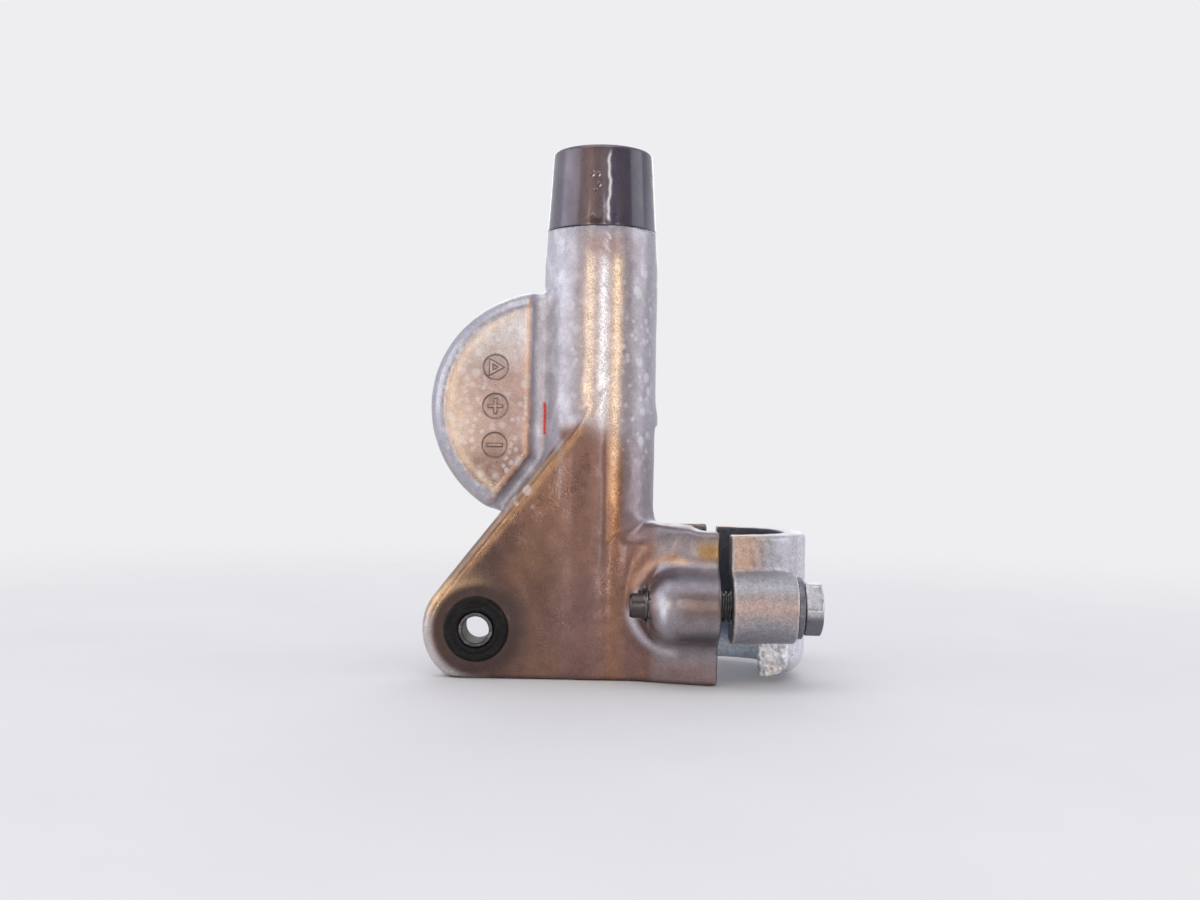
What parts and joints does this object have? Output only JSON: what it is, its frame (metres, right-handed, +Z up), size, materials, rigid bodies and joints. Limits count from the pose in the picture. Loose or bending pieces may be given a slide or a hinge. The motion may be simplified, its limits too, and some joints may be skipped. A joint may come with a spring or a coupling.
{
  "type": "tube clamp bracket",
  "caption": "Cast bracket with a split two-bolt tube clamp, a tapered post, a stop lug and a rubber-mounted eye.",
  "frame": {"origin": "on the clamp bore's axis, at the clamp's lower face", "axes": "+Z up along the clamp bore and the post, -Y towards the front face, +X towards the bolt heads"},
  "size_m": [0.1023, 0.0644, 0.1394],
  "materials": {
    "casting": "old clear lacquer over polished casting, stained brown",
    "dark_end": "dark, glossy",
    "cap_casting": "rough, worn lacquer",
    "bolt_steel": "worn zinc plate",
    "washer_steel": "dull, stained",
    "rubber": "matt black",
    "collar_steel": "dull, rust-stained"
  },
  "bodies": {
    "bracket": {"bracket_body": "casting", "post_end_cap": "dark_end", "eye_grommet": "rubber", "grommet_collar": "collar_steel"},
    "cap": {"clamp_cap": "cap_casting", "front_bolt_washer": "washer_steel", "rear_bolt_washer": "washer_steel"},
    "front_bolt": {"front_clamp_bolt": "bolt_steel"},
    "rear_bolt": {"rear_clamp_bolt": "bolt_steel"}
  },
  "joints": [
    {"name": "cap_slide", "type": "slide", "parent": "bracket", "child": "cap", "axis": [1, 0, 0], "range_m": [-0.0024, 0.02]},
    {"name": "front_bolt_turn", "type": "hinge", "parent": "cap", "child": "front_bolt", "pos_m": [0.02, -0.0232, 0.0202], "axis": [1, 0, 0], "range_deg": [-691.2, 5760]},
    {"name": "rear_bolt_turn", "type": "hinge", "parent": "cap", "child": "rear_bolt", "pos_m": [0.02, 0.0232, 0.0202], "axis": [1, 0, 0], "range_deg": [-691.2, 5760]}
  ],
  "couplings": [
    {"joint": "front_bolt_turn", "follows": "cap_slide", "rad_per_m": 5026.5},
    {"joint": "rear_bolt_turn", "follows": "cap_slide", "rad_per_m": 5026.5}
  ]
}
